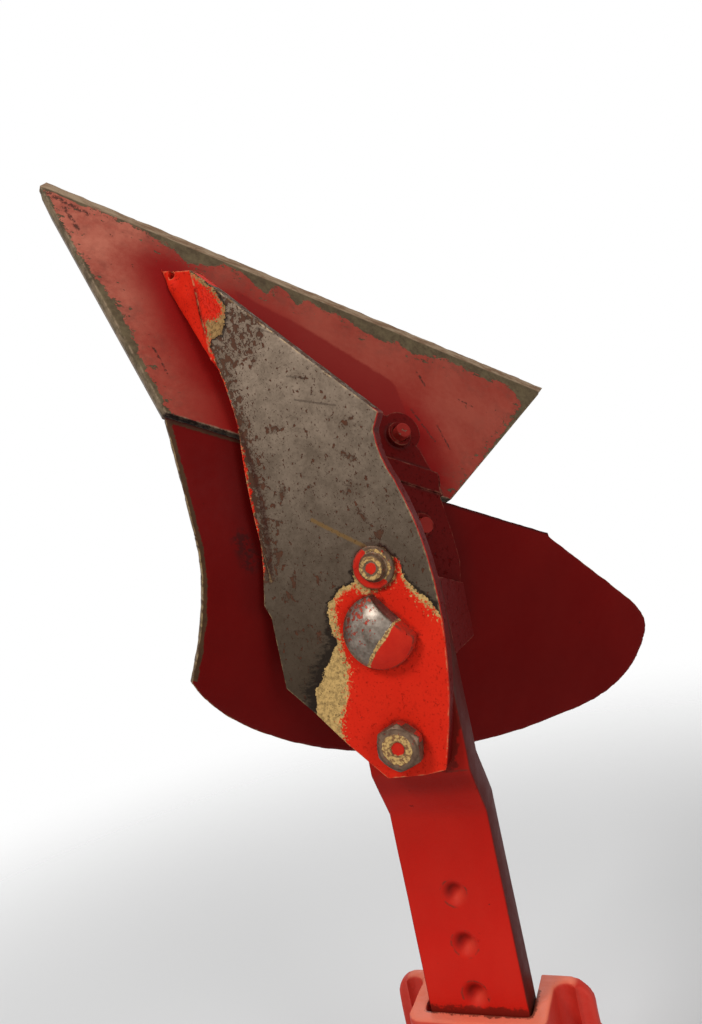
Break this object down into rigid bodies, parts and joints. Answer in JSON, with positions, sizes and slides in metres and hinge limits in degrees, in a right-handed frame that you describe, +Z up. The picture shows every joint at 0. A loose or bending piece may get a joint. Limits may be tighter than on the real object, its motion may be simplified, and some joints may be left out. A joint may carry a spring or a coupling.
{
  "type": "plough skimmer",
  "caption": "Small plough body with flat share, curved moldboard and worn frog on a cranked flat stalk, held in a strap clamp that sets its depth.",
  "frame": {"origin": "middle of the four mounting holes, on the back face of the clamp bracket", "axes": "+X against the travel direction, +Y towards the side that soil is thrown to and into what the bracket is fastened on, +Z up as parked, with the share at the top"},
  "size_m": [0.2762, 0.2361, 0.7371],
  "materials": {
    "red_paint": "satin, scuffed",
    "salmon_paint": "matt, dusty and faded",
    "worn_steel": "worn bright in places, pitted",
    "bolt_steel": "satin, painted over and chipped"
  },
  "bodies": {
    "clamp": {"bracket": "red_paint", "strap": "red_paint", "strap_bolts": "bolt_steel", "set_screw": "bolt_steel", "lock_nut": "bolt_steel"},
    "skimmer": {"stalk": "red_paint", "frog": "worn_steel", "share": "salmon_paint", "moldboard": "red_paint", "share_bolts": "bolt_steel", "mold_bolts": "bolt_steel", "pivot_bolt": "worn_steel", "pivot_nut": "bolt_steel", "frog_bolt": "bolt_steel", "frog_nut": "bolt_steel", "stop_bolt": "bolt_steel", "stop_nut": "bolt_steel"}
  },
  "joints": [
    {"name": "depth_slide", "type": "slide", "parent": "clamp", "child": "skimmer", "axis": [0, 0, 1], "range_m": [-0.09, 0.06]}
  ]
}
